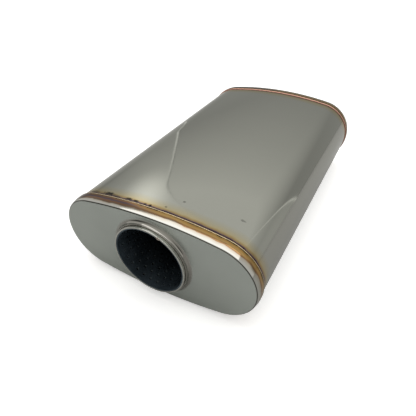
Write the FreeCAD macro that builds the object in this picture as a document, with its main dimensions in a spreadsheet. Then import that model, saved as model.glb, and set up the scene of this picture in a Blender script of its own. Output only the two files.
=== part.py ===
# Straight-through performance muffler with an oval case
#
# A stainless case of 4 by 9 inches and about 14 inches long stands round one perforated tube.
# X runs across the case, Y along the gas flow from the inlet (-Y) to the outlet, and Z up.
# The origin is the middle of the case, on the tube's own axis. All sizes are in millimetres.

import FreeCAD, Part

import math
import os

import Sketcher

# Driving dimensions

SIZES = {
    "body_length": (359.0, "case, over the flat faces of its two caps"),
    "cap_width": (226.6, "cap, across its outer edge"),
    "cap_height": (102.6, "cap, from bottom to top of its outer edge"),
    "crown_rise": (5.7, "how much smaller the oval's side radius is than half its height"),
    "cap_sheet": (1.2, "sheet of the caps"),
    "cap_corner": (2.0, "outer radius where a cap's face turns into its skirt"),
    "skirt_depth": (12.5, "cap, from its face to the edge of its skirt"),
    "shell_sheet": (1.2, "sheet of the rolled shell"),
    "skirt_gap": (0.1, "slip clearance between shell and skirt"),
    "shell_end_gap": (1.0, "room between the shell's end and the cap's inner face"),
    "seam_width": (2.6, "width of the weld that closes the rolled shell"),
    "seam_crown": (0.4, "height of that weld above the shell"),
    "rim_weld_leg": (2.2, "length of the rim weld along the shell"),
    "rim_weld_inset": (0.15, "how far the rim weld stays below the skirt's surface"),
    "bore_room": (13.0, "from the bore to the cap's edge above it, so a 3 inch pipe slips in"),
    "core_sheet": (1.2, "wall of the perforated core"),
    "core_recess": (0.4, "how far the core's end lies inside the neck's lip"),
    "slip_gap": (0.05, "clearance between core, neck and collar"),
    "neck_sheet": (1.5, "wall of the necks"),
    "neck_reach": (7.4, "neck, outside the cap's face"),
    "neck_depth": (28.0, "neck, inside the cap's face"),
    "lip_bevel": (0.35, "broken edge on the sheared lips of neck and collar"),
    "collar_root": (3.9, "outer radius at the root of the drawn collar"),
    "collar_lip": (0.5, "straight lip above the collar's root radius"),
    "neck_weld_leg": (2.0, "size of the fillet weld inside the collar"),
    "hole_radius": (2.6, "holes of the core, from centre to corner"),
    "hole_rows": (6, "rows of holes in each of the two staggered sets"),
    "holes_around": (8, "holes in a row"),
    "first_hole": (14.0, "first row of holes, from the core's end"),
    "wool_thickness": (3.6, "steel wool on the core"),
    "packing_gap": (0.3, "clearance round the packing"),
    "packing_end_gap": (5.0, "room between a cap's inner face and the glass packing"),
    "batt_cut": (18.0, "blunt edge of the side batts, from the case's middle plane"),
    "tack_width": (4.6, "weld spot on the neck's lip, along the lip"),
    "tack_height": (0.9, "height of that spot above the lip"),
    "tack_bevel": (0.6, "how far its top is smaller all round"),
    "tack_angle": (-23.5, "where the spot lies, in degrees from the top of the neck"),
}

doc = FreeCAD.newDocument("PerformanceMuffler")
sizes = doc.addObject("Spreadsheet::Sheet", "Sizes")
for row, (alias, (value, meaning)) in enumerate(SIZES.items(), start=1):
    sizes.set(f"A{row}", meaning)
    sizes.set(f"B{row}", str(value))
    sizes.setAlias(f"B{row}", alias)
doc.recompute()

# Sizes that follow from the driving ones, outwards from the tube's axis

BORE_RADIUS = "(Sizes.cap_height / 2 - Sizes.bore_room)"
CORE_OUTSIDE = f"({BORE_RADIUS} + Sizes.core_sheet)"
NECK_INSIDE = f"({CORE_OUTSIDE} + Sizes.slip_gap)"
NECK_OUTSIDE = f"({NECK_INSIDE} + Sizes.neck_sheet)"
COLLAR_INSIDE = f"({NECK_OUTSIDE} + Sizes.slip_gap)"
COLLAR_OUTSIDE = f"({COLLAR_INSIDE} + Sizes.cap_sheet)"
FLAT_FACE = f"(Sizes.cap_height / 2 - Sizes.cap_corner - {COLLAR_OUTSIDE})"
COLLAR_ROOT = f"min(Sizes.collar_root; 0.9 * {FLAT_FACE})"
COLLAR_HEIGHT = "(Sizes.collar_root + Sizes.collar_lip)"
THROAT_BEVEL = f"((2 - sqrt(2)) * ({COLLAR_ROOT} + Sizes.cap_sheet))"
WOOL_OUTSIDE = f"({NECK_INSIDE} + Sizes.wool_thickness)"

# The oval's side arcs, and how far each outline lies inside the caps' outer edge

SIDE_RADIUS = "(Sizes.cap_height / 2 - Sizes.crown_rise)"
SIDE_CENTRE = f"(Sizes.cap_width / 2 - {SIDE_RADIUS})"
SHELL_INSET = "(Sizes.cap_sheet + Sizes.skirt_gap)"
CAVITY_INSET = f"({SHELL_INSET} + Sizes.shell_sheet)"
PACKING_INSET = f"({CAVITY_INSET} + Sizes.packing_gap)"
MAT_OUTSIDE = f"(Sizes.cap_height / 2 - {PACKING_INSET})"

# Lengths along the flow

SHELL_LENGTH = "(Sizes.body_length - 2 * (Sizes.cap_sheet + Sizes.shell_end_gap))"
CORE_LENGTH = "(Sizes.body_length + 2 * (Sizes.neck_reach - Sizes.core_recess))"
WOOL_LENGTH = "(Sizes.body_length - 2 * (Sizes.neck_depth + Sizes.packing_gap))"
GLASS_LENGTH = "(Sizes.body_length - 2 * (Sizes.cap_sheet + Sizes.packing_end_gap))"
CROWN_LENGTH = "(Sizes.body_length - 2 * (Sizes.skirt_depth + Sizes.rim_weld_leg))"

NEAR = 1e-4
subparts = []


def number(expression):
    """What an expression of the sheet's sizes comes to."""
    return float(sizes.evalExpression(expression))


# Bodies and sketches


def new_body(label):
    body = doc.addObject("PartDesign::Body", label)
    body.Label = label
    subparts.append(body)
    return body


def stand_on_end(subpart, at_outlet):
    """Put a sub-part drawn with its cap's face at y = 0, the case's inside at +Y, on its end."""
    sign = "" if at_outlet else "-"
    turn = FreeCAD.Rotation(FreeCAD.Vector(0, 0, 1), 180 if at_outlet else 0)
    subpart.Placement = FreeCAD.Placement(FreeCAD.Vector(), turn)
    subpart.setExpression("Placement.Base.y", f"{sign}Sizes.body_length / 2")


def new_sketch(body, name, plane, inward="0"):
    """A sketch on one of the body's own planes, moved along +Y by inward on the XZ plane."""
    sketch = body.newObject("Sketcher::SketchObject", name)
    support = next(feature for feature in body.Origin.OriginFeatures if feature.Role == plane)
    sketch.AttachmentSupport = [(support, "")]
    sketch.MapMode = "FlatFace"
    if inward != "0":
        sketch.setExpression("AttachmentOffset.Base.z", f"-({inward})")
    return sketch


def bind(sketch, kind, places, expression):
    """Add a dimension and tie it to the sheet."""
    index = sketch.addConstraint(Sketcher.Constraint(kind, *places, number(expression)))
    sketch.setExpression(f"Constraints[{index}]", expression)


def draw_circle(sketch, radius):
    """A circle round the tube's axis."""
    circle = Part.Circle(FreeCAD.Vector(), FreeCAD.Vector(0, 0, 1), number(radius))
    index = sketch.addGeometry(circle)
    sketch.addConstraint(Sketcher.Constraint("Coincident", index, 3, -1, 1))
    bind(sketch, "Radius", (index,), radius)


def draw_polygon(sketch, corners):
    """A closed outline of straight lines, each corner at its own pair of expressions."""
    points = [FreeCAD.Vector(number(x), number(y), 0) for x, y in corners]
    ends = points[1:] + points[:1]
    lines = [sketch.addGeometry(Part.LineSegment(start, end)) for start, end in zip(points, ends)]
    for line, following in zip(lines, lines[1:] + lines[:1]):
        sketch.addConstraint(Sketcher.Constraint("Coincident", line, 2, following, 1))
    for line, (x, y) in zip(lines, corners):
        bind(sketch, "DistanceX", (-1, 1, line, 1), x)
        bind(sketch, "DistanceY", (-1, 1, line, 1), y)


def draw_rectangle(sketch, low_x, high_x, low_y, high_y):
    draw_polygon(sketch, [(low_x, low_y), (high_x, low_y), (high_x, high_y), (low_x, high_y)])


def draw_hexagon(sketch, radius, y):
    """A hole of the core: six sides stand for the round hole and keep the perforated wall light."""
    corners = [
        (f"{radius} * cos({angle} deg)", f"{y} + {radius} * sin({angle} deg)")
        for angle in range(30, 390, 60)
    ]
    draw_polygon(sketch, corners)


def draw_oval(sketch, inset):
    """The case's outline of four tangent arcs, set in from the caps' outer edge."""
    side = f"({SIDE_RADIUS} - {inset})"
    height = f"(Sizes.cap_height / 2 - {inset})"
    broad = f"(({SIDE_CENTRE}^2 + {height}^2 - {side}^2) / (2 * Sizes.crown_rise))"
    side_x, side_radius, broad_radius = number(SIDE_CENTRE), number(side), number(broad)
    drop = broad_radius - number(height)
    turn = math.atan2(drop, side_x)
    arcs = []
    for x, y, radius, start, end in (
        (side_x, 0, side_radius, -turn, turn),
        (0, -drop, broad_radius, turn, math.pi - turn),
        (-side_x, 0, side_radius, math.pi - turn, math.pi + turn),
        (0, drop, broad_radius, math.pi + turn, 2 * math.pi - turn),
    ):
        circle = Part.Circle(FreeCAD.Vector(x, y, 0), FreeCAD.Vector(0, 0, 1), radius)
        arcs.append(sketch.addGeometry(Part.ArcOfCircle(circle, start, end)))
    for arc, following in zip(arcs, arcs[1:] + arcs[:1]):
        sketch.addConstraint(Sketcher.Constraint("Tangent", arc, 2, following, 1))
    right, top, left, bottom = arcs
    sketch.addConstraint(Sketcher.Constraint("PointOnObject", right, 3, -1))
    sketch.addConstraint(Sketcher.Constraint("Symmetric", right, 3, left, 3, -1, 1))
    sketch.addConstraint(Sketcher.Constraint("PointOnObject", top, 3, -2))
    sketch.addConstraint(Sketcher.Constraint("Equal", top, bottom))
    bind(sketch, "DistanceX", (-1, 1, right, 3), SIDE_CENTRE)
    bind(sketch, "Radius", (right,), side)
    bind(sketch, "Radius", (top,), broad)


# Features


def pad(body, sketch, length, symmetric=False):
    """Extrude towards +Y, or to both sides of the sketch."""
    feature = body.newObject("PartDesign::Pad", f"{sketch.Name}_pad")
    feature.Profile = sketch
    feature.setExpression("Length", length)
    if symmetric:
        feature.SideType = "Symmetric"
    else:
        feature.Reversed = True
    doc.recompute()
    return feature


def pocket(body, sketch, symmetric=False, reverse=False):
    """Cut right through, one way from the sketch or to both sides of it."""
    feature = body.newObject("PartDesign::Pocket", f"{sketch.Name}_pocket")
    feature.Profile = sketch
    feature.Type = "ThroughAll"
    if symmetric:
        feature.SideType = "Symmetric"
    feature.Reversed = reverse
    doc.recompute()
    return feature


def spin(body, sketch):
    """Turn a sketch once round the tube's axis."""
    feature = body.newObject("PartDesign::Revolution", f"{sketch.Name}_spin")
    feature.Profile = sketch
    feature.ReferenceAxis = (sketch, ["V_Axis"])
    feature.Angle = 360
    doc.recompute()
    return feature


def edges_at(feature, level, radius=None):
    """Names of the edges in the plane y = level, of one circle where a radius is given."""
    names = []
    for index, edge in enumerate(feature.Shape.Edges, start=1):
        box = edge.BoundBox
        flat = abs(box.YMin - level) < NEAR and abs(box.YMax - level) < NEAR
        if flat and (radius is None or abs(edge.Curve.Radius - radius) < NEAR):
            names.append(f"Edge{index}")
    return names


def dress(body, kind, feature, edges, amount):
    """Round the edges by a radius (Fillet) or bevel them by an equal amount (Chamfer)."""
    dressed = body.newObject(f"PartDesign::{kind}", f"{feature.Name}_{kind.lower()}")
    dressed.Base = (feature, edges)
    dressed.setExpression("Radius" if kind == "Fillet" else "Size", amount)
    doc.recompute()
    return dressed


# Case


def outer_shell():
    """One sheet rolled to an oval sleeve, with a slit underneath that its seam weld fills."""
    body = new_body("outer_shell")
    section = new_sketch(body, "shell_section", "XZ_Plane")
    draw_oval(section, SHELL_INSET)
    draw_oval(section, CAVITY_INSET)
    pad(body, section, SHELL_LENGTH, symmetric=True)
    slit = new_sketch(body, "seam_slit", "XY_Plane")
    half_width, half_length = "Sizes.seam_width / 2", "Sizes.body_length / 2"
    draw_rectangle(slit, f"-{half_width}", half_width, f"-{half_length}", half_length)
    pocket(body, slit)


def shell_seam_weld():
    """The bead that closes the shell: it fills the slit and stands a little proud outside."""
    body = new_body("shell_seam_weld")
    half_width = "Sizes.seam_width / 2"
    inner, outer = f"-{MAT_OUTSIDE} - Sizes.packing_gap", f"-(Sizes.cap_height / 2 - {SHELL_INSET})"
    fill = new_sketch(body, "seam_fill", "XZ_Plane")
    draw_rectangle(fill, f"-{half_width}", half_width, outer, inner)
    pad(body, fill, SHELL_LENGTH, symmetric=True)
    bead = new_sketch(body, "seam_bead", "XZ_Plane")
    crown = f"{outer} - Sizes.seam_crown"
    corners = [
        (f"-{half_width}", outer),
        ("-Sizes.seam_width / 4", crown),
        ("Sizes.seam_width / 4", crown),
        (half_width, outer),
    ]
    draw_polygon(bead, corners)
    pad(body, bead, CROWN_LENGTH, symmetric=True)


def end_cap(label, at_outlet):
    """A pressed cap: flat face, rounded edge, skirt, and a collar drawn out round its hole."""
    body = new_body(label)
    blank = new_sketch(body, f"{label}_blank", "XZ_Plane")
    draw_oval(blank, "0")
    block = pad(body, blank, "Sizes.skirt_depth")
    dress(body, "Fillet", block, edges_at(block, 0), "Sizes.cap_corner")
    cavity = new_sketch(body, f"{label}_cavity", "XZ_Plane", "Sizes.cap_sheet")
    draw_oval(cavity, "Sizes.cap_sheet")
    pocket(body, cavity)
    wall = new_sketch(body, f"{label}_collar", "XY_Plane")
    draw_rectangle(wall, COLLAR_INSIDE, COLLAR_OUTSIDE, f"-{COLLAR_HEIGHT}", "Sizes.cap_sheet")
    spin(body, wall)
    hole = new_sketch(body, f"{label}_hole", "XZ_Plane")
    draw_circle(hole, COLLAR_INSIDE)
    drawn = pocket(body, hole)
    root = dress(body, "Fillet", drawn, edges_at(drawn, 0, number(COLLAR_OUTSIDE)), COLLAR_ROOT)
    inside = edges_at(root, number("Sizes.cap_sheet"), number(COLLAR_INSIDE))
    throat = dress(body, "Chamfer", root, inside, THROAT_BEVEL)
    lip = edges_at(throat, number(f"-{COLLAR_HEIGHT}"), number(COLLAR_OUTSIDE))
    dress(body, "Chamfer", throat, lip, "Sizes.lip_bevel")
    stand_on_end(body, at_outlet)


def rim_weld(label, at_outlet):
    """The bead in the step between the skirt's edge and the shell, all the way round."""
    body = new_body(label)
    ring = new_sketch(body, f"{label}_ring", "XZ_Plane", "Sizes.skirt_depth")
    draw_oval(ring, "Sizes.rim_weld_inset")
    draw_oval(ring, SHELL_INSET)
    bead = pad(body, ring, "Sizes.rim_weld_leg")
    far = number("Sizes.skirt_depth + Sizes.rim_weld_leg")
    outline = new_outline_test("Sizes.rim_weld_inset")
    outer = [name for name in edges_at(bead, far) if outline(bead.Shape.getElement(name))]
    dress(body, "Chamfer", bead, outer, f"0.8 * ({SHELL_INSET} - Sizes.rim_weld_inset)")
    stand_on_end(body, at_outlet)


def new_outline_test(inset):
    """A test for the edges whose arc has a radius of the oval at this inset."""
    side = number(f"{SIDE_RADIUS} - {inset}")
    height = number(f"Sizes.cap_height / 2 - {inset}")
    broad = (number(SIDE_CENTRE) ** 2 + height**2 - side**2) / (2 * (height - side))
    return lambda edge: min(abs(edge.Curve.Radius - side), abs(edge.Curve.Radius - broad)) < NEAR


# Gas path


def neck(label, at_outlet):
    """The short tube in the collar, which holds the core's end."""
    body = new_body(label)
    ring = new_sketch(body, f"{label}_ring", "XZ_Plane", "-Sizes.neck_reach")
    draw_circle(ring, NECK_INSIDE)
    draw_circle(ring, NECK_OUTSIDE)
    tube = pad(body, ring, "Sizes.neck_reach + Sizes.neck_depth")
    lip = edges_at(tube, -number("Sizes.neck_reach"), number(NECK_OUTSIDE))
    dress(body, "Chamfer", tube, lip, "Sizes.lip_bevel")
    stand_on_end(body, at_outlet)


def neck_weld(label, at_outlet):
    """The fillet weld inside the case, in the groove between the neck and the collar's root."""
    body = new_body(label)
    bottom = f"(Sizes.cap_sheet - {THROAT_BEVEL})"
    leg = "Sizes.neck_weld_leg"
    bead = new_sketch(body, f"{label}_bead", "XY_Plane")
    corners = [
        (NECK_OUTSIDE, bottom),
        (COLLAR_INSIDE, bottom),
        (f"{COLLAR_INSIDE} + {leg}", f"{bottom} + {leg}"),
        (NECK_OUTSIDE, f"{bottom} + 2 * {leg}"),
    ]
    draw_polygon(bead, corners)
    spin(body, bead)
    stand_on_end(body, at_outlet)


def core_tube():
    """The tube that the gas runs through, with staggered rows of holes all the way along."""
    body = new_body("core_tube")
    ring = new_sketch(body, "core_ring", "XZ_Plane")
    draw_circle(ring, BORE_RADIUS)
    draw_circle(ring, CORE_OUTSIDE)
    tube = pad(body, ring, CORE_LENGTH, symmetric=True)
    whole = tube.Shape.Volume
    around = next(f for f in body.Origin.OriginFeatures if f.Role == "Y_Axis")
    last_hole = f"({CORE_LENGTH} - 2 * Sizes.first_hole)"
    row_pitch = f"({last_hole} / (2 * Sizes.hole_rows - 1))"
    for name, start, turn in (
        ("core_holes", "0", "0"),
        ("core_staggered_holes", row_pitch, "180 / Sizes.holes_around"),
    ):
        hole = new_sketch(body, name, "XY_Plane")
        hole.AttachmentOffset = FreeCAD.Placement(
            FreeCAD.Vector(), FreeCAD.Rotation(FreeCAD.Vector(0, 1, 0), number(turn))
        )
        hole.setExpression("AttachmentOffset.Rotation.Angle", turn)
        draw_hexagon(hole, "Sizes.hole_radius", f"({start} - {last_hole} / 2)")
        drilled = pocket(body, hole, reverse=True)
        along = body.newObject("PartDesign::LinearPattern", f"{name}_along")
        along.Direction = (around, [""])
        along.setExpression("Length", f"{last_hole} - {row_pitch}")
        along.setExpression("Occurrences", "Sizes.hole_rows")
        about = body.newObject("PartDesign::PolarPattern", f"{name}_about")
        about.Axis = (around, [""])
        about.Angle = 360
        about.setExpression("Occurrences", "Sizes.holes_around")
        pattern = body.newObject("PartDesign::MultiTransform", f"{name}_pattern")
        pattern.Originals = [drilled]
        pattern.Transformations = [along, about]
        body.Tip = pattern
        doc.recompute()
    print("core holes take", round(whole - body.Shape.Volume), "of", round(whole), "mm3")


def core_tack(label, at_outlet):
    """The weld spot on the lip: a low mound that lies over the ends of neck and core."""
    spot = doc.addObject("Part::Wedge", label)
    spot.Label = label
    half_width, half_depth = "Sizes.tack_width / 2", f"({NECK_OUTSIDE} - {BORE_RADIUS}) / 2"
    for corner, amount in (
        ("Xmax", half_width),
        ("X2max", f"{half_width} - Sizes.tack_bevel"),
        ("Zmax", half_depth),
        ("Z2max", f"{half_depth} - Sizes.tack_bevel"),
    ):
        spot.setExpression(corner, amount)
        spot.setExpression(corner.replace("max", "min"), f"-({amount})")
    spot.Ymin = 0
    spot.setExpression("Ymax", "Sizes.tack_height")
    mid_radius = number(f"({NECK_OUTSIDE} + {BORE_RADIUS}) / 2")
    angle = math.radians(number("Sizes.tack_angle"))
    end = number("Sizes.body_length / 2 + Sizes.neck_reach")
    across, up = mid_radius * math.sin(angle), mid_radius * math.cos(angle)
    lean = FreeCAD.Rotation(FreeCAD.Vector(0, 1, 0), math.degrees(angle))
    on_lip = FreeCAD.Placement(FreeCAD.Vector(across, end, up), lean)
    turn = FreeCAD.Rotation(FreeCAD.Vector(0, 0, 1), 0 if at_outlet else 180)
    spot.Placement = FreeCAD.Placement(FreeCAD.Vector(), turn).multiply(on_lip)
    subparts.append(spot)


# Packing


def round_packing(label, inside, outside, length):
    """A layer wound round the core."""
    body = new_body(label)
    ring = new_sketch(body, f"{label}_ring", "XZ_Plane")
    draw_circle(ring, inside)
    draw_circle(ring, outside)
    pad(body, ring, length, symmetric=True)


def side_packing(label, side):
    """The batt that fills one rounded side of the case, hollowed to fit the wound layers."""
    body = new_body(label)
    block = new_sketch(body, f"{label}_block", "XZ_Plane")
    draw_oval(block, PACKING_INSET)
    pad(body, block, GLASS_LENGTH, symmetric=True)
    hollow = new_sketch(body, f"{label}_hollow", "XZ_Plane")
    draw_circle(hollow, f"{MAT_OUTSIDE} + Sizes.packing_gap")
    pocket(body, hollow, symmetric=True)
    trim = new_sketch(body, f"{label}_trim", "XZ_Plane")
    edge = f"{side} * Sizes.batt_cut"
    far_edge = f"{-side} * Sizes.cap_width"
    draw_rectangle(trim, edge, far_edge, "-Sizes.cap_height", "Sizes.cap_height")
    pocket(body, trim, symmetric=True)


outer_shell()
shell_seam_weld()
core_tube()
for end, at_outlet in (("inlet", False), ("outlet", True)):
    end_cap(f"{end}_end_cap", at_outlet)
    rim_weld(f"{end}_rim_weld", at_outlet)
    neck(f"{end}_neck", at_outlet)
    neck_weld(f"{end}_neck_weld", at_outlet)
    core_tack(f"{end}_core_tack", at_outlet)
round_packing("steel_wool_sleeve", NECK_INSIDE, WOOL_OUTSIDE, WOOL_LENGTH)
round_packing("glass_mat_wrap", WOOL_OUTSIDE, MAT_OUTSIDE, GLASS_LENGTH)
side_packing("left_packing", -1)
side_packing("right_packing", 1)
doc.recompute()

# Nothing is written unless every object and every sub-part is sound

for item in doc.Objects:
    if "Invalid" in item.State or "Error" in item.State:
        raise RuntimeError(f"{item.Name} failed: {item.State}")
for subpart in subparts:
    if subpart.Shape.isNull() or not subpart.Shape.isValid():
        raise RuntimeError(f"{subpart.Label} has no valid shape")

os.makedirs("parts", exist_ok=True)
for subpart in subparts:
    subpart.Shape.exportStep(f"parts/{subpart.Label}.step")
    print(f"{subpart.Label}: {len(subpart.Shape.Solids)} solid, {subpart.Shape.Volume:.0f} mm3")
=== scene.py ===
# %% [markdown]
# # A performance muffler in Blender
#
# The object is a straight-through muffler: an oval case of polished stainless sheet, a pressed cap
# welded on each end, and a perforated tube that runs through it. The engineering model comes in as
# a fixed frame, in metres, with Y along the gas flow and the inlet at -Y. Near-mirror metal shows
# every flat facet, so the pieces in view are modelled again here with fine smooth meshes that keep
# the frame's sizes, and then get their finishes.

import math

import bmesh
import bpy
from mathutils import Matrix, Vector, noise


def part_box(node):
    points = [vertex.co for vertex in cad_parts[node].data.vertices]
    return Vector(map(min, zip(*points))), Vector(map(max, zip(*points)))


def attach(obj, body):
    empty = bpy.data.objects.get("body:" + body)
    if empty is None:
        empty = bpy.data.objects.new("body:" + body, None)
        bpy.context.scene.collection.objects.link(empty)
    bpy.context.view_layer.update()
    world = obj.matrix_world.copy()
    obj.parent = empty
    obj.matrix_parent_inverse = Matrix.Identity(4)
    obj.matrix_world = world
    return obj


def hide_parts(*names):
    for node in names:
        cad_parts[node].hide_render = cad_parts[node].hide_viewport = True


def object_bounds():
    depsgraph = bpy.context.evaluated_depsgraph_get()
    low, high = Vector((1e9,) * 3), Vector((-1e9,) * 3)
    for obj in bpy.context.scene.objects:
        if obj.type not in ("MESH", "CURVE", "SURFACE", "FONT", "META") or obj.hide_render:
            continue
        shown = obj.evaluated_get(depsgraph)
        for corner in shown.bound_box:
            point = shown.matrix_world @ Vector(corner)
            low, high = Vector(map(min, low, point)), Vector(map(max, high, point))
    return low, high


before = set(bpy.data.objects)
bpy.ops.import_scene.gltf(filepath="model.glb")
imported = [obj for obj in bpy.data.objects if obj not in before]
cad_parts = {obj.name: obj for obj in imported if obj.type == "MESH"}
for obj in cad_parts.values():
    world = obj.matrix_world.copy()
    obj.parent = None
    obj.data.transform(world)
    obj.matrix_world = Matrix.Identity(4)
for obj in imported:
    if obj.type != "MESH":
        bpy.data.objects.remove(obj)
cad_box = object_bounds()
scene = bpy.context.scene
MM = 0.001
print("frame:", len(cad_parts), "nodes, box", [round(v, 4) for v in cad_box[1] - cad_box[0]])

# %% [markdown]
# ## The camera
#
# The picture looks down on the inlet end from the right. The place, the turn and the focal length
# were solved from the caps' outlines and the round bore, so the camera is given by its own three
# directions and not aimed by eye. The focal length is written in pixels of the 416 pixel picture.

# %% Camera
forward = Vector((-0.3866, 0.6896, -0.6123)).normalized()
right = Vector((0.8789, 0.4766, -0.0182))
right = (right - forward * right.dot(forward)).normalized()
up = right.cross(forward)
camera = bpy.data.objects.new("camera", bpy.data.cameras.new("camera"))
camera.matrix_world = Matrix((right, up, -forward)).transposed().to_4x4()
camera.location = (0.1767, -0.3800, 0.2619)
camera.data.sensor_width = 36
camera.data.lens = 36 * 369.5 / 416
scene.collection.objects.link(camera)
scene.camera = camera
print("camera: lens", round(camera.data.lens, 2), "mm")

# %% [markdown]
# ## Helpers for meshes
#
# Every piece starts as an empty bmesh, and ends as an object at the origin that rides on the
# frame's one body. Smooth shading with weighted normals keeps a flat wall flat right up to its
# rounded edge, which matters more on polished steel than on any other surface.

# %% Keep a finished piece
SHARP = math.radians(50)


def keep_piece(bm, name, finish, slot, *nodes):
    """Turn a bmesh into a smooth shaded piece that stands for the named nodes of the frame."""
    for face in bm.faces:
        face.smooth = True
    for edge in bm.edges:
        edge.smooth = len(edge.link_faces) == 2 and edge.calc_face_angle(0) < SHARP
    mesh = bpy.data.meshes.new(name)
    bm.to_mesh(mesh)
    bm.free()
    mesh.materials.append(finish)
    piece = bpy.data.objects.new(name, mesh)
    scene.collection.objects.link(piece)
    weighted = piece.modifiers.new("flat walls stay flat", "WEIGHTED_NORMAL")
    weighted.keep_sharp = True
    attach(piece, "root")
    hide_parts(*nodes)
    print(name, len(mesh.polygons), "faces")
    return piece


def bevel_ring(bm, edges, amount, segments):
    """Round a ring of edges."""
    bmesh.ops.bevel(bm, geom=edges, offset=amount, segments=segments, profile=0.5,
                    affect="EDGES", material=-1)


def edges_where(bm, test):
    return [edge for edge in bm.edges if all(test(vert.co) for vert in edge.verts)]


def turn_to_outlet(bm):
    """Turn a piece made for the inlet end round to the outlet end."""
    bmesh.ops.rotate(bm, verts=bm.verts, cent=(0, 0, 0), matrix=Matrix.Rotation(math.pi, 3, "Z"))


# %% [markdown]
# ## Helpers for finishes
#
# A finish is a node tree. One function adds a node, sets its values and makes its links, one turns
# the hex colours that a paint chart gives into the linear colours that the nodes work in, and one
# gives the scale of a noise from the real size of its features.

# %% Nodes and colours


def colour(hexadecimal):
    """A linear colour from an sRGB hex value."""
    parts = [int(hexadecimal[i:i + 2], 16) / 255 for i in (1, 3, 5)]
    return [c / 12.92 if c <= 0.04045 else ((c + 0.055) / 1.055) ** 2.4 for c in parts] + [1.0]


def node(tree, kind, inputs=(), stops=None, **settings):
    """Add a node: settings first, then a value or a link for each named or numbered input."""
    made = tree.nodes.new(kind)
    for name, value in settings.items():
        setattr(made, name, value)
    for socket, value in dict(inputs).items():
        if isinstance(value, bpy.types.NodeSocket):
            tree.links.new(value, made.inputs[socket])
        else:
            made.inputs[socket].default_value = value
    if stops:
        elements = made.color_ramp.elements
        while len(elements) < len(stops):
            elements.new(1.0)
        for element, (position, shade) in zip(elements, stops):
            element.position = position
            element.color = colour(shade)
    return made


def grain(size):
    """The scale of a noise whose features are about size mm across."""
    return 1 / (size * MM)


def new_finish(name, **constants):
    """A material with a Principled shader whose constant sockets are set here."""
    finish = bpy.data.materials.new(name)
    finish.use_nodes = True
    tree = finish.node_tree
    shader = tree.nodes["Principled BSDF"]
    for socket, value in constants.items():
        shader.inputs[socket.replace("_", " ")].default_value = value
    print("finish:", name)
    return finish, tree, shader


def connect(tree, shader, **outputs):
    """Link outputs to the shader's sockets of the same names."""
    for socket, output in outputs.items():
        tree.links.new(output, shader.inputs[socket.replace("_", " ")])


def distance_along(tree, place):
    """How far a place lies from the case's middle along the gas flow."""
    level = node(tree, "ShaderNodeSeparateXYZ", {0: place}).outputs["Y"]
    return node(tree, "ShaderNodeMath", {0: level}, operation="ABSOLUTE").outputs[0]


def clouded(tree, size, detail, stops):
    """Clouds of about a size in mm: the object's place, the clouds and the tone they pick."""
    place = node(tree, "ShaderNodeTexCoord").outputs["Object"]
    clouds = node(tree, "ShaderNodeTexNoise", {"Vector": place, "Scale": grain(size),
                                              "Detail": detail}).outputs["Fac"]
    tone = node(tree, "ShaderNodeValToRGB", {0: clouds}, stops=stops).outputs["Color"]
    return place, clouds, tone


# %% [markdown]
# ## The oval outline
#
# The case is an oval of four arcs that run smoothly into each other: two tight ones at the sides
# and two broad ones above and below. Each arc is one vertex spun about the arc's own centre, so the
# ring has true arcs however far it is set in from the caps' edge.

# %% Oval ring
cap_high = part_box("inlet_end_cap")[1]
HALF_WIDTH, HALF_HEIGHT = cap_high.x, cap_high.z
CROWN_RISE = 5.7 * MM  # of the broad arcs, over the side arcs' own height
SIDE_RADIUS = HALF_HEIGHT - CROWN_RISE
SIDE_CENTRE = HALF_WIDTH - SIDE_RADIUS
print("oval", round(HALF_WIDTH / MM, 1), "x", round(HALF_HEIGHT / MM, 1), "mm, half")


def oval_arcs(inset):
    """The four arcs at an inset, as centre x, centre z, radius and angle turned."""
    side = SIDE_RADIUS - inset
    height = HALF_HEIGHT - inset
    broad = (SIDE_CENTRE**2 + height**2 - side**2) / (2 * CROWN_RISE)
    turn = math.atan2(broad - height, SIDE_CENTRE)
    return [
        (SIDE_CENTRE, 0, side, 2 * turn),
        (0, height - broad, broad, math.pi - 2 * turn),
        (-SIDE_CENTRE, 0, side, 2 * turn),
        (0, broad - height, broad, math.pi - 2 * turn),
    ]


def oval_ring(bm, y, inset, side_steps=60, broad_steps=60):
    """A closed ring of edges at height y, starting low on the right and running over the top."""
    arcs = oval_arcs(inset)
    low = -arcs[0][3] / 2
    start = (SIDE_CENTRE + arcs[0][2] * math.cos(low), y, arcs[0][2] * math.sin(low))
    others = set(bm.verts)
    vert = bm.verts.new(start)
    for (x, z, _, angle), steps in zip(arcs, (side_steps, broad_steps) * 2):
        made = bmesh.ops.spin(bm, geom=[vert], cent=(x, y, z), axis=(0, -1, 0), angle=angle,
                              steps=steps)
        vert = next(v for v in made["geom_last"] if isinstance(v, bmesh.types.BMVert))
    ring = [v for v in bm.verts if v not in others]
    bmesh.ops.remove_doubles(bm, verts=ring, dist=1e-6)
    return [v for v in ring if v.is_valid]


def ring_edges_of(verts):
    """The edges between the verts of one ring."""
    members = set(verts)
    return list({e for v in verts for e in v.link_edges if e.other_vert(v) in members})


def bridge(bm, first, second):
    bmesh.ops.bridge_loops(bm, edges=ring_edges_of(first) + ring_edges_of(second))


def outline_at(point):
    """The oval's outward direction at a point on or near it, and the radius of its arc there."""
    (_, _, side, turn), (_, top, broad, _) = oval_arcs(0)[:2]
    beside = abs(point.x) - SIDE_CENTRE
    if abs(math.atan2(point.z, beside)) <= turn / 2:
        return Vector((math.copysign(beside, point.x), 0, point.z)).normalized(), side
    return Vector((point.x, 0, point.z - math.copysign(top, -point.z))).normalized(), broad


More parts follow.
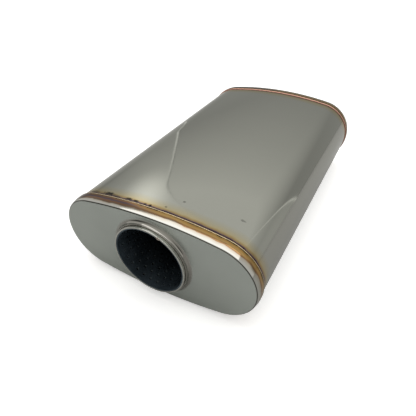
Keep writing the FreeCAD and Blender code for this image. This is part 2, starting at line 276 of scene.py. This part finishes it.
# %% [markdown]
# ## Finish: polished stainless sheet with heat tint
#
# The shell is grade 304 sheet with a buffed, slightly satin mirror finish. Buffing leaves faint
# streaks along the case, and rolling leaves very shallow waves. Beside a weld the heat has grown
# thin oxide films: purple where the steel was hottest, then brown, gold and straw. The tint is a
# ramp over the distance from the weld, which the Object coordinates give directly, and noise
# frays its edge.

# %% Shell finish
WELD_FAR_EDGE = 164.8 * MM
SOOT = (  # place in mm, half length across and along the case in mm, darkness
    ((-79, -162, 43), 6.0, 2.6, 0.55),
    ((-60, -161.3, 46), 7.5, 2.8, 0.97),
    ((-50, -162.5, 48), 5.0, 1.5, 0.5),
    ((-34, -162, 49), 3.6, 1.8, 0.95),
    ((-25, -162.3, 49), 3.4, 1.5, 0.95),
    ((-14, -163, 50), 2.2, 1.2, 0.7),
    ((-8, -162.6, 50), 1.7, 1.5, 0.95),
    ((7, -158, 50), 1.3, 1.0, 0.7),
    ((18, -143, 50), 1.5, 1.2, 0.6),
    ((77, -136, 43), 3.0, 1.4, 0.45),
)


def weld_distance(tree, edge, fray, patch):
    """Distance in mm from the level |y| = edge towards the middle, frayed in patches of a size."""
    place = node(tree, "ShaderNodeTexCoord").outputs["Object"]
    level = distance_along(tree, place)
    inward = node(tree, "ShaderNodeMath", {0: edge, 1: level}, operation="SUBTRACT").outputs[0]
    ragged = node(tree, "ShaderNodeTexNoise", {"Vector": place, "Scale": grain(patch),
                                              "Detail": 4.0})
    push = node(tree, "ShaderNodeMapRange", {0: ragged.outputs["Fac"], 1: 0.3, 2: 0.7,
                                            3: -fray, 4: fray})
    total = node(tree, "ShaderNodeMath", {0: inward, 1: 1 / MM, 2: push.outputs[0]},
                 operation="MULTIPLY_ADD")
    return place, total.outputs[0]


def brushed(tree, place, across, along, low, high):
    """Roughness from fine streaks: across and along are the streaks' width and length in mm."""
    stretched = node(tree, "ShaderNodeMapping", {"Vector": place, "Scale": (
        grain(across), grain(along), grain(across))})
    streaks = node(tree, "ShaderNodeTexNoise", {"Vector": stretched.outputs[0], "Scale": 1.0,
                                               "Detail": 3.0})
    rough = node(tree, "ShaderNodeMapRange", {0: streaks.outputs["Fac"], 1: 0.3, 2: 0.7,
                                             3: low, 4: high})
    return streaks.outputs["Fac"], rough.outputs[0]


TINT_REACH = 20.0  # mm, from the weld

polished_sheet, tree, shader = new_finish("buffed 304 stainless sheet", Metallic=1.0)
place, distance = weld_distance(tree, WELD_FAR_EDGE, fray=0.7, patch=11.1)
reach = node(tree, "ShaderNodeMath", {0: distance, 1: TINT_REACH}, operation="DIVIDE")
tint = node(tree, "ShaderNodeValToRGB", {0: reach.outputs[0]}, stops=[
    (0.0, "#3E3238"), (0.065, "#4A3C4C"), (0.1, "#86705E"), (0.17, "#A08A60"),
    (0.28, "#AEA284"), (0.5, "#A9A494"), (0.8, "#A9A9A3")])
streaks, rough = brushed(tree, place, across=1.2, along=90, low=0.04, high=0.075)
waves = node(tree, "ShaderNodeTexNoise", {"Vector": place, "Scale": grain(91), "Detail": 1.0})
wavy = node(tree, "ShaderNodeBump", {"Height": waves.outputs["Fac"], "Distance": 0.25 * MM,
                                    "Strength": 1.0})
scuffed = node(tree, "ShaderNodeBump", {"Height": streaks, "Distance": 0.0025 * MM,
                                       "Normal": wavy.outputs[0]})

# %% Soot marks
SPOT_HEIGHT = 10.0  # mm, more than the case curves within a mark

sooty = 0.0
ragged = node(tree, "ShaderNodeTexNoise", {"Vector": place, "Scale": grain(2.38), "Detail": 3.0})
for spot, across, along, darkness in SOOT:
    away = node(tree, "ShaderNodeVectorMath", {0: place, 1: [c * MM for c in spot]},
                operation="SUBTRACT")
    away = node(tree, "ShaderNodeVectorMath", {0: away.outputs[0], 1: (
        grain(across), grain(along), grain(SPOT_HEIGHT))}, operation="MULTIPLY")
    away = node(tree, "ShaderNodeVectorMath", {0: away.outputs[0]}, operation="LENGTH")
    away = node(tree, "ShaderNodeMath", {0: ragged.outputs["Fac"], 1: 1.6,
                                        2: away.outputs["Value"]}, operation="MULTIPLY_ADD")
    mark = node(tree, "ShaderNodeMapRange", {0: away.outputs[0], 1: 1.3, 2: 2.0,
                                            3: darkness, 4: 0.0})
    sooty = node(tree, "ShaderNodeMath", {0: sooty, 1: mark.outputs[0]},
                 operation="MAXIMUM").outputs[0]
sheet = node(tree, "ShaderNodeMix", {0: sooty, 6: tint.outputs[0], 7: colour("#1A1612")},
             data_type="RGBA")
dull = node(tree, "ShaderNodeMath", {0: sooty, 1: 0.35, 2: rough}, operation="MULTIPLY_ADD")
connect(tree, shader, Base_Color=sheet.outputs[2], Roughness=dull.outputs[0],
        Normal=scuffed.outputs[0])
print(len(SOOT), "soot marks")

# %% [markdown]
# ## The shell
#
# The case's side is one sheet rolled to the oval and closed by a weld underneath. A ring of edges
# is extruded along the flow and given its wall, which is all that a rolled sleeve is.

# %% Shell
SHELL_INSET = 1.3 * MM
SHEET = 1.2 * MM
shell_low, shell_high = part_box("outer_shell")


def give_wall(bm, thickness):
    """Give an open skin its wall, on the inner side."""
    bmesh.ops.recalc_face_normals(bm, faces=bm.faces)
    bmesh.ops.solidify(bm, geom=bm.faces[:], thickness=thickness)


bm = bmesh.new()
first = oval_ring(bm, shell_low.y, SHELL_INSET, 96, 96)
made = bmesh.ops.extrude_edge_only(bm, edges=ring_edges_of(first))["geom"]
moved = [v for v in made if isinstance(v, bmesh.types.BMVert)]
bmesh.ops.translate(bm, verts=moved, vec=(0, shell_high.y - shell_low.y, 0))
give_wall(bm, SHEET)
keep_piece(bm, "rolled_shell", polished_sheet, "polished_stainless", "outer_shell")

# %% [markdown]
# ## Finish: pressed caps
#
# The caps are pressed from the same steel, but their flat faces keep the even, satin mill finish
# of the sheet, while the skirt is polished where it was drawn over the die. The bend between the
# two has a dark band painted into its colour, a painted reflection of the dark room, and the drawn
# collar is painted a darker grey, as painted shade. The skirt's end is coloured by the weld: gold
# and brown on the right, with a purple band on the left, where the metal got hotter.

# %% Skirt colours
CAP_FACE = 179.5 * MM
SKIRT_EDGE = 167.0 * MM
SKIRT_DEPTH = 12.5  # mm, from the face to the skirt's edge

pressed_steel, tree, shader = new_finish("pressed 304 stainless cap", Metallic=1.0)
place, inward = weld_distance(tree, SKIRT_EDGE, fray=0.8, patch=11.1)
outward = node(tree, "ShaderNodeMath", {0: inward, 1: -1 / SKIRT_DEPTH}, operation="MULTIPLY")
golden = node(tree, "ShaderNodeValToRGB", {0: outward.outputs[0]}, stops=[
    (0.0, "#33322A"), (0.04, "#4E4436"), (0.088, "#93723E"), (0.3, "#AE8E5C"), (0.48, "#7E5E42"),
    (0.56, "#A69E90"), (0.8, "#B2B1AB")])
purple = node(tree, "ShaderNodeValToRGB", {0: outward.outputs[0]}, stops=[
    (0.0, "#33322A"), (0.04, "#5A4638"), (0.11, "#7E5E40"), (0.22, "#64463C"), (0.32, "#4A4250"),
    (0.48, "#70523A"), (0.61, "#5E5044"), (0.69, "#A69E90"), (0.8, "#B2B1AB")])
beside = node(tree, "ShaderNodeSeparateXYZ", {0: place}).outputs["X"]
beside = node(tree, "ShaderNodeMapRange", {0: beside, 1: -30 * MM, 2: 10 * MM})
skirt = node(tree, "ShaderNodeMix", {0: beside.outputs[0], 6: purple.outputs[0],
                                     7: golden.outputs[0]}, data_type="RGBA")

# %% Bend, collar and flat face
level = distance_along(tree, place)
# Painted reflection: a dark band in the bend's colour stands in for the dark room that the bend
# mirrors.
painted_dark_bend = node(tree, "ShaderNodeMapRange", {0: level, 1: CAP_FACE - 1.1 * MM,
                                          2: CAP_FACE - 0.7 * MM})
on_face = node(tree, "ShaderNodeMapRange", {0: level, 1: CAP_FACE - 0.4 * MM,
                                           2: CAP_FACE - 0.02 * MM})
radius = node(tree, "ShaderNodeVectorMath", {0: place, 1: (1, 0, 1)}, operation="MULTIPLY")
radius = node(tree, "ShaderNodeVectorMath", {0: radius.outputs[0]}, operation="LENGTH")
off_collar = node(tree, "ShaderNodeMapRange", {0: radius.outputs["Value"], 1: 47.5 * MM,
                                              2: 48.0 * MM})
on_flat = node(tree, "ShaderNodeMapRange", {0: radius.outputs["Value"], 1: 44.5 * MM,
                                           2: 46.5 * MM})
painted_dark_bend = node(tree, "ShaderNodeMath", {0: painted_dark_bend.outputs[0], 1: off_collar.outputs[0]},
              operation="MULTIPLY")
skirt = node(tree, "ShaderNodeMix", {0: painted_dark_bend.outputs[0], 6: skirt.outputs[2],
                                     7: colour("#4E4C47")}, data_type="RGBA")
# Painted shade: within 47.5 mm of the bore, the collar is painted a darker grey for the dark
# reflections round it.
skirt = node(tree, "ShaderNodeMix", {0: off_collar.outputs[0], 6: colour("#96938D"),
                                     7: skirt.outputs[2]}, data_type="RGBA")
satin = node(tree, "ShaderNodeMath", {0: on_face.outputs[0], 1: on_flat.outputs[0]},
             operation="MULTIPLY")
_, _, mill = clouded(tree, 71.5, 2.0, [(0.3, "#B8BDB8"), (0.7, "#BFC4BF")])
both = node(tree, "ShaderNodeMix", {0: satin.outputs[0], 6: skirt.outputs[2], 7: mill},
            data_type="RGBA")
matt = node(tree, "ShaderNodeMapRange", {0: satin.outputs[0], 3: 0.09, 4: 0.42})
connect(tree, shader, Base_Color=both.outputs[2], Roughness=matt.outputs[0])

# %% [markdown]
# ## The caps
#
# Each cap is one pressing: a flat face, a tight bend, a skirt that still leans inwards by a few
# degrees near the bend, and a collar drawn outwards round the hole. The skirt is a stack of oval
# rings joined by bridges, the collar is a profile spun round the bore, and a fill of triangles
# joins the two across the flat face. The bends are bevels of the rings.

# %% Caps
COLLAR_INSIDE, COLLAR_OUTSIDE = 41.1 * MM, 42.3 * MM
COLLAR_ROOT = 3.9 * MM
COLLAR_TOP = CAP_FACE + 4.4 * MM
HOLE_MARGIN = COLLAR_OUTSIDE + COLLAR_ROOT + 0.4 * MM  # where the flat face begins
OUTER_BEND = 1.5 * MM
LIP_BEND = 0.4 * MM
FLAT_MARGIN = 2.5 * MM  # a ring of even faces beside the outer bend
LEANING_SKIRT = (  # depth below the face and inset, in mm
    (SKIRT_DEPTH, 0), (8.5, 0), (7, 0.1), (5.5, 0.32), (4, 0.6), (2.5, 0.92), (0, 1.5))


def spin_profile(bm, corners, steps, closed):
    """Turn a polyline of (radius, y) corners once round the bore's axis."""
    verts = [bm.verts.new((radius, y, 0)) for radius, y in corners]
    following = verts[1:] + verts[:1] if closed else verts[1:]
    edges = [bm.edges.new(pair) for pair in zip(verts, following)]
    bmesh.ops.spin(bm, geom=verts + edges, cent=(0, 0, 0), axis=(0, -1, 0), angle=2 * math.pi,
                   steps=steps, use_merge=True)


def on_ring(radius, y):
    """A test for points on one ring round the bore."""
    return lambda co: abs(math.hypot(co.x, co.z) - radius) < 1e-6 and abs(co.y - y) < 1e-6


for end in ("inlet", "outlet"):
    bm = bmesh.new()
    rings = [oval_ring(bm, -CAP_FACE + depth * MM, inset * MM, 72, 48)
             for depth, inset in LEANING_SKIRT]
    for first, second in zip(rings, rings[1:]):
        bridge(bm, first, second)
    made = bmesh.ops.extrude_edge_only(bm, edges=ring_edges_of(rings[-1]))["geom"]
    margin = [v for v in made if isinstance(v, bmesh.types.BMVert)]
    for vert in margin:
        vert.co -= outline_at(vert.co)[0] * FLAT_MARGIN
    spin_profile(bm, [(HOLE_MARGIN, -CAP_FACE), (COLLAR_OUTSIDE, -CAP_FACE),
                      (COLLAR_OUTSIDE, -COLLAR_TOP)], 192, False)
    hole = edges_where(bm, on_ring(HOLE_MARGIN, -CAP_FACE))
    bmesh.ops.triangle_fill(bm, edges=ring_edges_of(margin) + hole, use_beauty=True)
    bevel_ring(bm, ring_edges_of(rings[-1]), OUTER_BEND, 6)
    bevel_ring(bm, edges_where(bm, on_ring(COLLAR_OUTSIDE, -CAP_FACE)), COLLAR_ROOT, 10)
    give_wall(bm, SHEET)
    bevel_ring(bm, edges_where(bm, on_ring(COLLAR_OUTSIDE, -COLLAR_TOP)), LIP_BEND, 4)
    bevel_ring(bm, edges_where(bm, on_ring(COLLAR_INSIDE, -COLLAR_TOP)), LIP_BEND, 4)
    if end == "outlet":
        turn_to_outlet(bm)
    keep_piece(bm, f"{end}_pressed_cap", pressed_steel, "pressed_stainless", f"{end}_end_cap")

# %% [markdown]
# ## Finish: the weld and its colours
#
# The bead is laid without filler, so it is smooth metal with fine ripples, and it keeps the oxide
# colours of its heat as lines along its length: cream and pink on its crown, purple-black and
# green-black at its two toes.

# %% Weld finish
WELD_LEG = 2.2  # mm, along the shell

tinted_bead, tree, shader = new_finish("heat tinted weld", Metallic=1.0, Roughness=0.36)
_, inward = weld_distance(tree, SKIRT_EDGE, fray=0.12, patch=5.0)
share = node(tree, "ShaderNodeMath", {0: inward, 1: WELD_LEG}, operation="DIVIDE")
lines = node(tree, "ShaderNodeValToRGB", {0: share.outputs[0]}, stops=[
    (0.0, "#38362C"), (0.12, "#5A5444"), (0.2, "#D4C49E"), (0.36, "#C6A884"), (0.44, "#3C4036"),
    (0.52, "#4A443A"), (0.62, "#D8AC94"), (0.82, "#B88676"), (1.0, "#5A464A")])
connect(tree, shader, Base_Color=lines.outputs[0])

# %% [markdown]
# ## The rim welds
#
# Each weld fills the step between the skirt's edge and the shell. The ring is extruded in rows
# across the step, and every point is then moved along the outline's own normal: the rows give the
# bead its crown, and a wave along the ring gives the ripples that the pool leaves as it freezes.

# %% Rim welds
WELD_INSET = 0.15 * MM  # of the crown, below the skirt's surface
TOE_DROP = 0.28 * MM  # from the crown to the toe at the skirt
RIPPLE = 1.5 * MM
RIPPLE_RISE = 0.05 * MM
SWELL_RISE = 0.1 * MM  # of the bead's slow changes in height
SWELLS_PER_METRE = 260
ROWS = 12
CROWN_AT = 0.35  # share of the leg, from the skirt


def spread_over(bm, first, depth, rows):
    """Extrude a ring in rows towards the middle of the case. Returns all the rings."""
    rings = [first]
    for _ in range(rows):
        made = bmesh.ops.extrude_edge_only(bm, edges=ring_edges_of(rings[-1]))["geom"]
        verts = [v for v in made if isinstance(v, bmesh.types.BMVert)]
        bmesh.ops.translate(bm, verts=verts, vec=(0, depth / rows, 0))
        rings.append(verts)
    return rings


for end in ("inlet", "outlet"):
    bm = bmesh.new()
    first = oval_ring(bm, -SKIRT_EDGE, WELD_INSET, 480, 540)
    rings = spread_over(bm, first, WELD_LEG * MM, ROWS)
    for row, ring in enumerate(rings):
        share = row / ROWS
        if share < CROWN_AT:
            fall = TOE_DROP * (1 - share / CROWN_AT) ** 2
        else:
            fall = (SHELL_INSET - WELD_INSET) * ((share - CROWN_AT) / (1 - CROWN_AT)) ** 1.6
        for vert in ring:
            outward, radius = outline_at(vert.co)
            along = radius * math.atan2(outward.x, outward.z)
            phase = 2 * math.pi * along / RIPPLE + 2.0 * share
            swell = SWELL_RISE * noise.noise(vert.co * SWELLS_PER_METRE)
            ripple = RIPPLE_RISE * math.sin(phase)
            vert.co -= outward * (fall - (ripple + swell) * math.sin(math.pi * share))
    give_wall(bm, 0.3 * MM)
    if end == "outlet":
        turn_to_outlet(bm)
    keep_piece(bm, f"{end}_rim_bead", tinted_bead, "tinted_weld", f"{end}_rim_weld")

# %% [markdown]
# ## Finish: polished tube
#
# The short necks are cut from polished stainless tube, brighter than the sheet.

# %% Neck finish
bright_tube, tree, shader = new_finish("polished stainless tube", Metallic=1.0)
_, clouds, tone = clouded(tree, 16.7, 2.0, [(0.3, "#BCBBB5"), (0.7, "#C8C7C1")])
rough = node(tree, "ShaderNodeMapRange", {0: clouds, 1: 0.3, 2: 0.7, 3: 0.04, 4: 0.07})
connect(tree, shader, Base_Color=tone, Roughness=rough.outputs[0])

# %% [markdown]
# ## The necks
#
# A neck is a length of tube, so it is a wall's cross-section spun once round the bore's axis, with
# the sheared lip's two corners broken by a bevel.

# %% Necks
NECK_INSIDE, NECK_OUTSIDE = 39.55 * MM, 41.05 * MM
neck_low, neck_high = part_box("inlet_neck")
for end in ("inlet", "outlet"):
    bm = bmesh.new()
    lip, inner_end = neck_low.y, neck_high.y
    spin_profile(bm, [(NECK_INSIDE, lip), (NECK_OUTSIDE, lip), (NECK_OUTSIDE, inner_end),
                      (NECK_INSIDE, inner_end)], 192, True)
    bevel_ring(bm, edges_where(bm, on_ring(NECK_OUTSIDE, lip)), 0.45 * MM, 4)
    bevel_ring(bm, edges_where(bm, on_ring(NECK_INSIDE, lip)), 0.15 * MM, 2)
    bmesh.ops.recalc_face_normals(bm, faces=bm.faces)
    if end == "outlet":
        turn_to_outlet(bm)
    keep_piece(bm, f"{end}_neck_tube", bright_tube, "bright_tube", f"{end}_neck")

# %% [markdown]
# ## Finish: the core's dark steel
#
# The perforated core is left as it comes from the mill: a dark blue-grey with a dull sheen. It gets
# darker away from its mouths, where almost no light reaches it.

# %% Core finish
dark_steel, tree, shader = new_finish("perforated steel", Metallic=0.8)
place, grime, tone = clouded(tree, 22.2, 4.0, [(0.3, "#3A454D"), (0.7, "#525E67")])
rough = node(tree, "ShaderNodeMapRange", {0: grime, 3: 0.4, 4: 0.6})
near_mouth = node(tree, "ShaderNodeMapRange", {0: distance_along(tree, place), 1: 130 * MM,
                                              2: 185 * MM})
tone = node(tree, "ShaderNodeMix", {0: near_mouth.outputs[0], 6: colour("#14181C"), 7: tone},
            data_type="RGBA")
connect(tree, shader, Base_Color=tone.outputs[2], Roughness=rough.outputs[0])

# %% [markdown]
# ## The perforated core
#
# Real perforated tube is punched flat and then rolled, and it is made here the same way. One cell
# is a square with a round hole bridged into it; cells are copied to a row, rows are copied along
# the tube with every second row moved by half a cell, and the flat sheet is rolled up at the end.

# %% Core tube
CORE_INSIDE, CORE_OUTSIDE = 38.3 * MM, 39.5 * MM
HOLE_RADIUS = 1.5 * MM
HOLES_AROUND = 28
core_low, core_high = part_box("core_tube")
CORE_LENGTH = core_high.y - core_low.y
HOLE_ROWS = 43
cell = 2 * math.pi * CORE_OUTSIDE / HOLES_AROUND
row_pitch = 8.5 * MM
plain_end = (CORE_LENGTH - HOLE_ROWS * row_pitch) / 2

bm = bmesh.new()
bmesh.ops.create_grid(bm, x_segments=4, y_segments=4, size=0.5)
inner = [v for v in bm.verts if max(abs(v.co.x), abs(v.co.y)) < 0.4]
bmesh.ops.delete(bm, geom=inner, context="VERTS")
bmesh.ops.scale(bm, verts=bm.verts, vec=(cell, row_pitch, 1))
border = bm.edges[:]
circle = bmesh.ops.create_circle(bm, segments=16, radius=HOLE_RADIUS)["verts"]
bmesh.ops.bridge_loops(bm, edges=border + ring_edges_of(circle))


def repeat(bm, geom, count, step):
    """Copy geometry count - 1 times, each copy a step on from the last."""
    for number in range(1, count):
        made = bmesh.ops.duplicate(bm, geom=geom)["geom"]
        verts = [v for v in made if isinstance(v, bmesh.types.BMVert)]
        bmesh.ops.translate(bm, verts=verts, vec=step(number))


one = bm.verts[:] + bm.edges[:] + bm.faces[:]
repeat(bm, one, HOLES_AROUND, lambda n: (n * cell, 0, 0))
row = bm.verts[:] + bm.edges[:] + bm.faces[:]
repeat(bm, row, HOLE_ROWS, lambda n: ((n % 2) * cell / 2, n * row_pitch, 0))
bmesh.ops.translate(bm, verts=bm.verts, vec=(0, core_low.y + plain_end + row_pitch / 2, 0))
for vert in bm.verts:
    angle = vert.co.x / CORE_OUTSIDE
    vert.co = (CORE_OUTSIDE * math.sin(angle), vert.co.y, CORE_OUTSIDE * math.cos(angle))
bmesh.ops.remove_doubles(bm, verts=bm.verts, dist=0.02 * MM)
for limit, sign in ((core_low.y + plain_end, -1), (core_high.y - plain_end, 1)):
    edges = edges_where(bm, lambda co: abs(co.y - limit) < 0.01 * MM)
    made = bmesh.ops.extrude_edge_only(bm, edges=edges)["geom"]
    verts = [v for v in made if isinstance(v, bmesh.types.BMVert)]
    bmesh.ops.translate(bm, verts=verts, vec=(0, sign * plain_end, 0))
bmesh.ops.recalc_face_normals(bm, faces=bm.faces)
first = bm.faces[0]
if first.normal.dot(first.verts[0].co * Vector((1, 0, 1))) < 0:
    bmesh.ops.reverse_faces(bm, faces=bm.faces)
bmesh.ops.solidify(bm, geom=bm.faces[:], thickness=CORE_OUTSIDE - CORE_INSIDE)
keep_piece(bm, "perforated_core", dark_steel, "dark_core", "core_tube")

# %% [markdown]
# ## Small beads
#
# A weld spot on each neck's lip holds the core, and a long bead under the case closes the shell.
# The spot is half a flattened ball, cut off at the lip. The bead is a strip whose cross-section is
# arched, with the same ripples as the rims.

# %% Bare bead finish
bare_bead, tree, shader = new_finish("bare stainless weld", Metallic=1.0)
_, specks, tone = clouded(tree, 1.43, 3.0, [(0.3, "#6E665E"), (0.5, "#A69C92"), (0.7, "#D2CAC2")])
rough = node(tree, "ShaderNodeMapRange", {0: specks, 3: 0.25, 4: 0.5})
connect(tree, shader, Base_Color=tone, Roughness=rough.outputs[0])

# %% Tack spots
TACK_ANGLE = math.radians(23.5)
TACK_HALF = Vector((2.5, 0.9, 1.5)) * MM
TACK_RADIUS = 39.9 * MM
for end in ("inlet", "outlet"):
    bm = bmesh.new()
    bmesh.ops.create_uvsphere(bm, u_segments=24, v_segments=16, radius=1)
    bmesh.ops.scale(bm, verts=bm.verts, vec=TACK_HALF)
    for vert in bm.verts:
        vert.co.y *= 1 - 0.25 * abs(noise.noise(vert.co * 900))
    bmesh.ops.bisect_plane(bm, geom=bm.verts[:] + bm.edges[:] + bm.faces[:], plane_co=(0, 0, 0),
                           plane_no=(0, 1, 0), clear_outer=True)
    bmesh.ops.holes_fill(bm, edges=bm.edges[:])
    bmesh.ops.translate(bm, verts=bm.verts, vec=(0, neck_low.y, TACK_RADIUS))
    bmesh.ops.rotate(bm, verts=bm.verts, cent=(0, 0, 0), matrix=Matrix.Rotation(TACK_ANGLE, 3, "Y"))
    bmesh.ops.recalc_face_normals(bm, faces=bm.faces)
    if end == "outlet":
        turn_to_outlet(bm)
    keep_piece(bm, f"{end}_tack_spot", bare_bead, "weld_bead", f"{end}_core_tack")

# %% Seam bead
seam_low, seam_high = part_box("shell_seam_weld")
SEAM_STEPS = 700
SEAM_CROWN = 0.4 * MM
bm = bmesh.new()
bmesh.ops.create_grid(bm, x_segments=8, y_segments=SEAM_STEPS, size=1)
for vert in bm.verts:
    across, along = vert.co.x, vert.co.y * WELD_FAR_EDGE
    ripple = 0.9 + 0.1 * math.sin(2 * math.pi * along / RIPPLE + 2 * across**2)
    crown = SEAM_CROWN * (1 - across**2) * ripple
    vert.co = (across * seam_high.x, along, seam_low.z + SEAM_CROWN - crown)
bmesh.ops.recalc_face_normals(bm, faces=bm.faces)
if bm.faces[0].normal.z > 0:
    bmesh.ops.reverse_faces(bm, faces=bm.faces)
bmesh.ops.solidify(bm, geom=bm.faces[:], thickness=SEAM_CROWN)
keep_piece(bm, "seam_bead", bare_bead, "weld_bead", "shell_seam_weld")

# %% [markdown]
# ## The packing and the inner welds
#
# The layers inside the case stay as the frame's own solids. Steel wool shows dark through the
# core's holes; the glass mat and batts are out of sight. They still get what they are made of.

# %% Packing finishes
steel_wool, tree, shader = new_finish("steel wool", Metallic=0.6, Roughness=0.9)
_, _, tone = clouded(tree, 1.11, 4.0, [(0.35, "#020202"), (0.65, "#101112")])
connect(tree, shader, Base_Color=tone)

glass_fibre, tree, shader = new_finish("glass fibre", Roughness=0.9)
_, _, tone = clouded(tree, 1.67, 4.0, [(0.35, "#C9BE98"), (0.65, "#F0EAD4")])
connect(tree, shader, Base_Color=tone)

for finish, names in (
    (steel_wool, ("steel_wool_sleeve",)),
    (glass_fibre, ("glass_mat_wrap", "left_packing", "right_packing")),
    (bare_bead, ("inlet_neck_weld", "outlet_neck_weld")),
):
    for name in names:
        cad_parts[name].material_slots[0].material = finish

# %% [markdown]
# ## Floor and light
#
# The floor is plain and near white, and the world is a little over white for camera rays alone. One
# broad lamp hangs flat overhead. It gives the floor its soft shadow and draws the white line along
# the caps' polished skirts, and it is dim enough that the sheet keeps its colour where it mirrors
# the lamp.

# %% Floor
FLOOR_LIFT = 0.35  # glow for camera, glossy and transmission rays alone


def ground(name, height, finish):
    """A level square of 12 m that is part of the stage."""
    bm = bmesh.new()
    bmesh.ops.create_grid(bm, x_segments=1, y_segments=1, size=6)
    bmesh.ops.translate(bm, verts=bm.verts, vec=(0, 0, height))
    mesh = bpy.data.meshes.new(name)
    bm.to_mesh(mesh)
    bm.free()
    mesh.materials.append(finish)
    made = bpy.data.objects.new(name, mesh)
    scene.collection.objects.link(made)
    return made


floor_paint, tree, shader = new_finish("white paper", Roughness=0.9)
shader.inputs["Base Color"].default_value = colour("#FBFBFB")
shader.inputs["Emission Color"].default_value = colour("#FFFFFF")
rays = node(tree, "ShaderNodeLightPath").outputs
seen = node(tree, "ShaderNodeMath", {0: rays["Is Camera Ray"], 1: rays["Is Glossy Ray"]},
            operation="MAXIMUM")
seen = node(tree, "ShaderNodeMath", {0: seen.outputs[0], 1: rays["Is Transmission Ray"]},
            operation="MAXIMUM")
lift = node(tree, "ShaderNodeMath", {0: seen.outputs[0], 1: FLOOR_LIFT}, operation="MULTIPLY")
connect(tree, shader, Emission_Strength=lift.outputs[0])
ground("floor", cad_box[0].z, floor_paint)

# %% World and lamp
WORLD_LIGHT, WORLD_SEEN = 0.85, 1.05
LAMP_LENGTH, LAMP_WIDTH, LAMP_WATTS = 2.4, 0.8, 8
LAMP_PLACE, LAMP_TURN = (0.02, 0.12, 1.3), 10

world = bpy.data.worlds.new("studio")
scene.world = world
world.use_nodes = True
tree = world.node_tree
sky = tree.nodes["Background"]
sky.inputs["Color"].default_value = colour("#FFFEFB")
rays = node(tree, "ShaderNodeLightPath").outputs
brightness = node(tree, "ShaderNodeMapRange", {0: rays["Is Camera Ray"], 3: WORLD_LIGHT,
                                              4: WORLD_SEEN})
connect(tree, sky, Strength=brightness.outputs[0])

lamp = bpy.data.objects.new("overhead", bpy.data.lights.new("overhead", "AREA"))
lamp.data.shape = "RECTANGLE"
lamp.data.size, lamp.data.size_y, lamp.data.energy = LAMP_LENGTH, LAMP_WIDTH, LAMP_WATTS
lamp.location = LAMP_PLACE
lamp.rotation_euler.z = math.radians(LAMP_TURN)
scene.collection.objects.link(lamp)
print("lamp:", LAMP_WATTS, "W")

# %% [markdown]
# ## What the steel mirrors
#
# Polished metal shows whatever stands round it, so the room is part of the look. The top of the
# case mirrors a dim wall behind it, which gets lighter upwards and has soft patches, one of them
# bright. In front of that wall stands a grey screen with rounded corners, a dark edge and a pale
# rim: its outline is the curved line across the shell. A wall in front of the case has two soft
# dark patches low down, which darken the caps' bends. The table is grey in reflections. All of
# these show in reflections only.

# %% Boards
BOARD_LIGHT = colour("#FEFFF8")


def reflection_only(thing):
    thing.visible_camera = thing.visible_shadow = thing.visible_diffuse = False


def board(name, width, height, corner, place, low, high, stretch=1.0, patches=()):
    """An upright board: its brightness as (height, strength) low down and high up, and soft round
    patches as (middle, reach, added strength). The corners are rounded before the stretch."""
    finish = bpy.data.materials.new(name)
    finish.use_nodes = True
    tree = finish.node_tree
    spot = node(tree, "ShaderNodeTexCoord").outputs["Object"]
    level = node(tree, "ShaderNodeSeparateXYZ", {0: spot}).outputs["Z"]
    strength = node(tree, "ShaderNodeMapRange", {0: level, 1: low[0], 2: high[0],
                                                3: low[1], 4: high[1]}).outputs[0]
    for middle, reach, added in patches:
        away = node(tree, "ShaderNodeVectorMath", {0: spot, 1: middle}, operation="DISTANCE")
        patch = node(tree, "ShaderNodeMapRange", {0: away.outputs["Value"], 2: reach,
                                                 3: added, 4: 0.0},
                     interpolation_type="SMOOTHSTEP")
        strength = node(tree, "ShaderNodeMath", {0: strength, 1: patch.outputs[0]}).outputs[0]
    lit = node(tree, "ShaderNodeEmission", {"Color": BOARD_LIGHT, "Strength": strength})
    tree.links.new(lit.outputs[0], tree.nodes["Material Output"].inputs["Surface"])
    bm = bmesh.new()
    bmesh.ops.create_grid(bm, x_segments=1, y_segments=1, size=0.5)
    bmesh.ops.scale(bm, verts=bm.verts, vec=(width / stretch, height, 1))
    bmesh.ops.bevel(bm, geom=bm.verts[:], offset=corner, segments=24,
                    profile=0.42 if stretch > 1 else 0.5, affect="VERTICES", material=-1)
    bmesh.ops.scale(bm, verts=bm.verts, vec=(stretch, 1, 1))
    bmesh.ops.rotate(bm, verts=bm.verts, cent=(0, 0, 0),
                     matrix=Matrix.Rotation(math.radians(90), 3, "X"))
    bmesh.ops.translate(bm, verts=bm.verts, vec=place)
    mesh = bpy.data.meshes.new(name)
    bm.to_mesh(mesh)
    bm.free()
    mesh.materials.append(finish)
    made = bpy.data.objects.new(name, mesh)
    scene.collection.objects.link(made)
    reflection_only(made)
    print("board:", name)


board("dim_wall", 9.0, 2.3, 0.1, (0, 1.6, 1.1), (0.7, 0.46), (1.7, 0.9), patches=(
    ((-1.7, 1.6, 1.55), 0.55, 0.62), ((-2.5, 1.6, 1.0), 0.8, -0.16), ((1.8, 1.6, 0.3), 1.0, 0.12)))
board("screen_rim", 2.70, 2.63, 0.6, (-0.01, 1.53, 0.62), (0.0, 0.9), (1.5, 0.9), stretch=1.9)
board("screen_edge", 2.62, 2.60, 0.6, (-0.02, 1.52, 0.62), (0.0, 0.25), (1.5, 0.25), stretch=1.9)
board("grey_screen", 2.59, 2.58, 0.6, (-0.01, 1.5, 0.615), (0.55, 0.39), (1.45, 0.83), stretch=1.9)
board("front_wall", 6.0, 2.2, 0.1, (0, -1.35, 1.04), (0.0, 0.62), (1.5, 0.8), patches=(
    ((-1.4, -1.35, 0.45), 1.5, -0.62), ((1.35, -1.35, 0.4), 1.2, -0.62)))

# %% Grey table
table_paint, tree, shader = new_finish("grey card", Roughness=1.0)
shader.inputs["Base Color"].default_value = colour("#B2B2B0")
reflection_only(ground("grey_table", cad_box[0].z + 0.1 * MM, table_paint))

# %% View transform
scene.view_settings.view_transform = "Standard"
